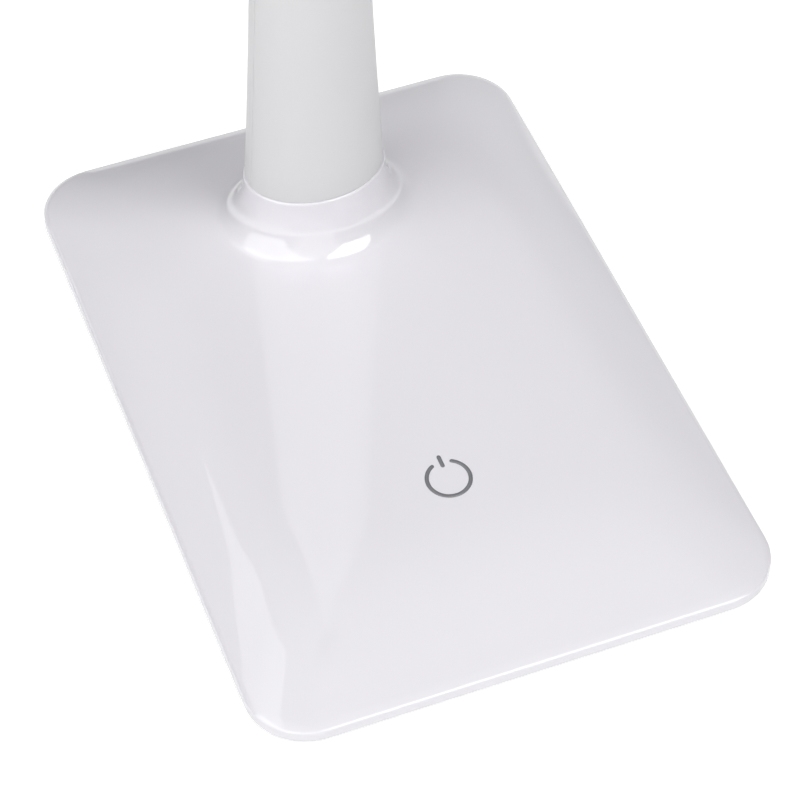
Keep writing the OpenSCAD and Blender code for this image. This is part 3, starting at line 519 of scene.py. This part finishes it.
def bay_block(x0, x1):
    """The block that the plug bay is cut from, as high as the middle of the dome's wall."""
    row_count = 14
    rows = []
    for y in np.linspace(BAY_Y - BAY_WALL, HALF_D - RIM_WALL / 2, row_count):
        top = min(top_z(x0, y), top_z(x1, y)) - TOP_WALL / 2
        rows += [(x0, y, FOOT_Z), (x1, y, FOOT_Z), (x1, y, top), (x0, y, top)]
    block = loose_mesh("bay_block", rows, ring_faces(row_count, 4, False))
    bm = edit(block.data)
    bmesh.ops.recalc_face_normals(bm, faces=bm.faces)
    put_back(bm, block.data)
    return block


def power_symbol():
    """The printed touch symbol: a ring open at the back, and a bar through the opening."""
    radius, stroke, gap = 4.84, 0.94, 28.5
    bar_start, bar_end = 3.2, 6.7
    proud, sunk = 0.03, 0.05
    turns = np.radians(np.linspace(90 + gap, 450 - gap, 97))
    outward = np.stack([np.cos(turns), np.sin(turns)], 1)
    bar_y = np.linspace(bar_start + stroke / 2, bar_end - stroke / 2, 12)
    bar = np.stack([np.zeros_like(bar_y), bar_y], 1)
    points, faces = [], []
    add_stroke(points, faces, radius * outward, outward, stroke / 2)
    add_stroke(points, faces, bar, np.tile([1.0, 0.0], (len(bar), 1)), stroke / 2)
    flat = np.array(points) + [0, TOUCH_Y]
    z = top_z(flat[:, 0], flat[:, 1]) + proud
    sign = new_mesh("power_symbol_print", lift(flat, z), faces, "stand", 60)
    bm = edit(sign.data)
    bmesh.ops.recalc_face_normals(bm, faces=bm.faces)
    if sum(f.normal.z * f.calc_area() for f in bm.faces) < 0:
        bmesh.ops.reverse_faces(bm, faces=bm.faces)
    put_back(bm, sign.data)
    solid = sign.modifiers.new("thickness", "SOLIDIFY")
    solid.thickness = (proud + sunk) * MM
    solid.offset = -1
    apply_modifiers(sign)
    ink, tree, shader = material("grey_print", PRINT_GREY, 0.22)
    vary_colour(tree, shader, add_noise(tree, 900), PRINT_GREY, 0.06)
    paint(sign, ink)


def add_stroke(points, faces, line, side, half):
    """A band of width 2 * half along the line, with a half disc on each end."""
    left, right = line + side * half, line - side * half
    base, n = len(points), len(line)
    points += [*left, *right]
    faces += [(base + i, base + i + 1, base + n + i + 1, base + n + i) for i in range(n - 1)]
    turns = np.radians(np.linspace(0, 180, 9))[1:-1]
    ends = ((0, 1, 1, (base, base + n)), (-1, -2, -1, (base + 2 * n - 1, base + n - 1)))
    for end, before, sign, (first, last) in ends:
        along = line[end] - line[before]
        along = along / np.hypot(*along)
        start = len(points)
        points += [line[end] + half * (sign * math.cos(a) * side[end] + math.sin(a) * along) for a in turns]
        faces.append((first, *range(start, len(points)), last)[::-1])


# Stem

def stem_half(h):
    """Half width of the stem at a height over the collar, up to the shoulder."""
    t = 1 - h / (SHELL_H - SHOULDER_H + TAPER_RUN)
    return STEM_END_HALF + (STEM_A - STEM_END_HALF) * t * t


def stem_rows(inner):
    """Height over the collar, half width and half depth, for each row of the stem."""
    wall = STEM_WALL if inner else 0
    inner_step = 4
    flat_h = SHELL_H - SHOULDER_H
    spigot_a, spigot_b = STEM_A - TOP_WALL - FIT, STEM_B - TOP_WALL - FIT
    rows = [(-SPIGOT_H, spigot_a - wall, spigot_b - wall), (FIT, spigot_a - wall, spigot_b - wall)]
    for turn in np.radians(np.linspace(0, 90, 5)):
        inset = SHELL_EDGE * (1 - math.sin(turn))
        h = FIT + SHELL_EDGE * (1 - math.cos(turn))
        if inner:
            rows.append((inner_step + h, spigot_a - wall, spigot_b - wall))
        else:
            rows.append((h, STEM_A - inset, STEM_B - inset))
    for h in np.linspace(4 * STEM_WALL, flat_h, 26):
        rows.append((h, stem_half(h) - wall, stem_half(h) * DEPTH_SHARE - wall))
    hole = TUBE_R + FIT
    a, b = stem_half(flat_h) - wall, stem_half(flat_h) * DEPTH_SHARE - wall
    rise = SHOULDER_H - wall
    for turn in np.radians(np.linspace(0, 90, 15))[1:]:
        c = math.cos(turn)
        rows.append((flat_h + rise * math.sin(turn), hole + (a - hole) * c, hole + (b - hole) * c))
    return rows


def stem_shell(name, side, node):
    """Front (side 1) or rear (side -1) half of the stem: an outer and an inner skin joined at the edges."""
    columns = 44
    line = PARTING_FWD + side * PARTING_GAP / 2

    def arc(row):
        h, a, b = row
        edge = math.asin(min(0.95, line / b))
        start = math.pi + edge if side > 0 else -edge
        turn = math.pi - 2 * edge * side
        w = start + turn * np.arange(columns + 1) / columns
        y = STEM_Y - LEAN * max(0, h) + b * np.sin(w)
        return np.stack([a * np.cos(w), y, np.full_like(w, COLLAR_Z + h)], 1)

    outer = [arc(row) for row in stem_rows(False)]
    inner = [arc(row) for row in stem_rows(True)]
    n, m = len(outer), columns + 1
    q = n * m
    faces = []
    for j in range(n - 1):
        for i in range(m - 1):
            a = j * m + i
            faces.append((a, a + 1, a + m + 1, a + m))
            faces.append((q + a, q + a + m, q + a + m + 1, q + a + 1))
        a, b = j * m, j * m + m - 1
        faces.append((a, a + m, q + a + m, q + a))
        faces.append((b, q + b, q + b + m, b + m))
    for i in range(m - 1):
        t = (n - 1) * m + i
        faces.append((i, q + i, q + i + 1, i + 1))
        faces.append((t, t + 1, q + t + 1, q + t))
    shell = new_mesh(name, np.concatenate(outer + inner), faces, "stand", SHARP_ANGLE)
    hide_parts(node)
    bevel = shell.modifiers.new("edges", "BEVEL")
    bevel.width = SHELL_EDGE * MM
    bevel.segments = 2
    bevel.limit_method = "ANGLE"
    bevel.angle_limit = math.radians(60)
    bevel.use_clamp_overlap = True
    apply_modifiers(shell)
    smooth(shell, SHARP_ANGLE)
    paint(shell, looks["satin_white"])


# Stage, lamps and camera

def stage():
    """A plain white floor. What the camera, gloss and glass see of it gets whiter, most of all far off."""
    mat = bpy.data.materials.new("floor_white")
    mat.use_nodes = True
    tree = mat.node_tree
    nodes, link = tree.nodes, tree.links.new
    nodes.clear()
    out = nodes.new("ShaderNodeOutputMaterial")
    diffuse = nodes.new("ShaderNodeBsdfDiffuse")
    diffuse.inputs["Color"].default_value = (0.8, 0.8, 0.8, 1)
    glow = nodes.new("ShaderNodeEmission")
    glow.inputs["Color"].default_value = (1, 1, 1, 1)
    path = nodes.new("ShaderNodeLightPath")
    seen = nodes.new("ShaderNodeMath")
    seen.operation = "MAXIMUM"
    seen_too = nodes.new("ShaderNodeMath")
    seen_too.operation = "MAXIMUM"
    strength = nodes.new("ShaderNodeMath")
    strength.operation = "MULTIPLY"
    place = nodes.new("ShaderNodeTexCoord")
    far = nodes.new("ShaderNodeVectorMath")
    far.operation = "LENGTH"
    whiten = nodes.new("ShaderNodeMapRange")
    whiten.inputs["From Min"].default_value = NEAR_FLOOR
    whiten.inputs["From Max"].default_value = FAR_FLOOR
    whiten.inputs["To Min"].default_value = 0.47
    whiten.inputs["To Max"].default_value = 1.0
    both = nodes.new("ShaderNodeAddShader")
    link(path.outputs["Is Camera Ray"], seen.inputs[0])
    link(path.outputs["Is Glossy Ray"], seen.inputs[1])
    link(seen.outputs[0], seen_too.inputs[0])
    link(path.outputs["Is Transmission Ray"], seen_too.inputs[1])
    link(place.outputs["Object"], far.inputs[0])
    link(far.outputs["Value"], whiten.inputs["Value"])
    link(seen_too.outputs[0], strength.inputs[0])
    link(whiten.outputs["Result"], strength.inputs[1])
    link(strength.outputs[0], glow.inputs["Strength"])
    link(diffuse.outputs[0], both.inputs[0])
    link(glow.outputs[0], both.inputs[1])
    link(both.outputs[0], out.inputs["Surface"])
    mesh = bpy.data.meshes.new("floor")
    corners = [(x * FLOOR_HALF, y * FLOOR_HALF, 0) for x, y in ((-1, -1), (1, -1), (1, 1), (-1, 1))]
    mesh.from_pydata(corners, [], [(0, 1, 2, 3)])
    floor = bpy.data.objects.new("floor", mesh)
    floor.location.z = -FLOOR_DROP
    bpy.context.scene.collection.objects.link(floor)
    floor.data.materials.append(mat)


def aim(azimuth, elevation):
    """Unit vector towards an azimuth, counted from +Y towards +X, and an elevation, in degrees."""
    az, el = math.radians(azimuth), math.radians(elevation)
    return Vector((math.sin(az) * math.cos(el), math.cos(az) * math.cos(el), math.sin(el)))


def sky():
    """The greys of a dim studio, as the gloss mirrors them, and a soft glow behind the lamp."""
    world = bpy.data.worlds.new("studio")
    bpy.context.scene.world = world
    world.use_nodes = True
    tree = world.node_tree
    nodes, link = tree.nodes, tree.links.new
    back = nodes["Background"]
    place = nodes.new("ShaderNodeTexCoord")
    split = nodes.new("ShaderNodeSeparateXYZ")
    ramp = nodes.new("ShaderNodeValToRGB")
    ramp.color_ramp.interpolation = "EASE"
    # Sine of the elevation, and the grey there
    stops = ((0.0, 0.3), (0.09, 0.12), (0.3, 0.12), (0.45, 0.06), (0.62, 0.15), (0.84, 0.15), (0.93, 0.5))
    ramp.color_ramp.elements[0].position = stops[0][0]
    ramp.color_ramp.elements[1].position = stops[-1][0]
    for position, grey in stops[1:-1]:
        ramp.color_ramp.elements.new(position)
    for element, (position, grey) in zip(ramp.color_ramp.elements, stops):
        element.color = (grey, grey, grey * 1.02, 1)
    link(place.outputs["Generated"], split.inputs[0])
    link(split.outputs["Z"], ramp.inputs["Fac"])
    link(ramp.outputs["Color"], back.inputs["Color"])
    back.inputs["Strength"].default_value = 1.0
    glow = nodes.new("ShaderNodeBackground")
    nearness = nodes.new("ShaderNodeVectorMath")
    nearness.operation = "DOT_PRODUCT"
    nearness.inputs[1].default_value = aim(36, 10)
    fade = nodes.new("ShaderNodeMapRange")
    fade.interpolation_type = "SMOOTHSTEP"
    fade.inputs["From Min"].default_value = math.cos(math.radians(30))
    fade.inputs["From Max"].default_value = math.cos(math.radians(8))
    fade.inputs["To Max"].default_value = 0.8
    both = nodes.new("ShaderNodeAddShader")
    link(place.outputs["Generated"], nearness.inputs[0])
    link(nearness.outputs["Value"], fade.inputs["Value"])
    link(fade.outputs["Result"], glow.inputs["Strength"])
    link(back.outputs[0], both.inputs[0])
    link(glow.outputs[0], both.inputs[1])
    link(both.outputs[0], nodes["World Output"].inputs["Surface"])


def softbox(name, azimuth, elevation, width, height, radiance, roll=0.0):
    """A soft lamp, its size given as seen from the base, in degrees. A radiance of 1 is white."""
    lamp = bpy.data.lights.new(name, "AREA")
    lamp.shape = "RECTANGLE"
    lamp.size = 2 * LAMP_FAR * math.tan(math.radians(width / 2))
    lamp.size_y = 2 * LAMP_FAR * math.tan(math.radians(height / 2))
    lamp.energy = radiance * math.pi * lamp.size * lamp.size_y
    obj = bpy.data.objects.new(name, lamp)
    toward = aim(azimuth, elevation)
    side = -aim(azimuth - 90, 0)
    across = Matrix.Rotation(math.radians(roll), 3, toward) @ side
    turn = Matrix((across, toward.cross(across), toward)).transposed().to_4x4()
    obj.matrix_world = Matrix.Translation(toward * LAMP_FAR) @ turn
    obj.visible_camera = False
    bpy.context.scene.collection.objects.link(obj)


def lamps():
    """Four soft boxes, where the photo's highlights show them."""
    softbox("left_box", -113, 42, 54, 66, 1.6)
    softbox("right_box", 148, 49, 28, 42, 3.5)
    softbox("front_box", -171, 37, 41, 70, 0.6)
    softbox("strip_box", -54, 66, 36, 21.5, 0.8, 1.6)


def camera():
    """The photograph's camera, solved from the base's outline."""
    azimuth, elevation, roll = (math.radians(angle) for angle in (-19.97, 49.46, -0.89))
    distance = 674.1 * MM
    target = Vector((0.24, -6.59, FOOT_Z)) * MM
    focal_px, frame_px, sensor = 2955.7, 800, 36.0
    back = Vector((math.sin(azimuth) * math.cos(elevation), -math.cos(azimuth) * math.cos(elevation),
                   math.sin(elevation)))
    right = Vector((math.cos(azimuth), math.sin(azimuth), 0))
    up = back.cross(right)
    cam_right = math.cos(roll) * right + math.sin(roll) * up
    cam_up = math.cos(roll) * up - math.sin(roll) * right
    data = bpy.data.cameras.new("photo_camera")
    data.sensor_width = sensor
    data.lens = sensor * focal_px / frame_px
    data.clip_start = 0.01
    data.clip_end = 50
    obj = bpy.data.objects.new("photo_camera", data)
    turn = Matrix((cam_right, cam_up, back)).transposed().to_4x4()
    obj.matrix_world = Matrix.Translation(target + back * distance) @ turn
    bpy.context.scene.collection.objects.link(obj)
    bpy.context.scene.camera = obj


camera()
carry_over(["base_top_shell", "stem_front_cover", "stem_rear_shell"])
base_shell()
power_symbol()
stem_shell("stem_front_skin", 1, "stem_front_cover")
stem_shell("stem_rear_skin", -1, "stem_rear_shell")
stage()
sky()
lamps()
bpy.context.scene.view_settings.view_transform = "Standard"
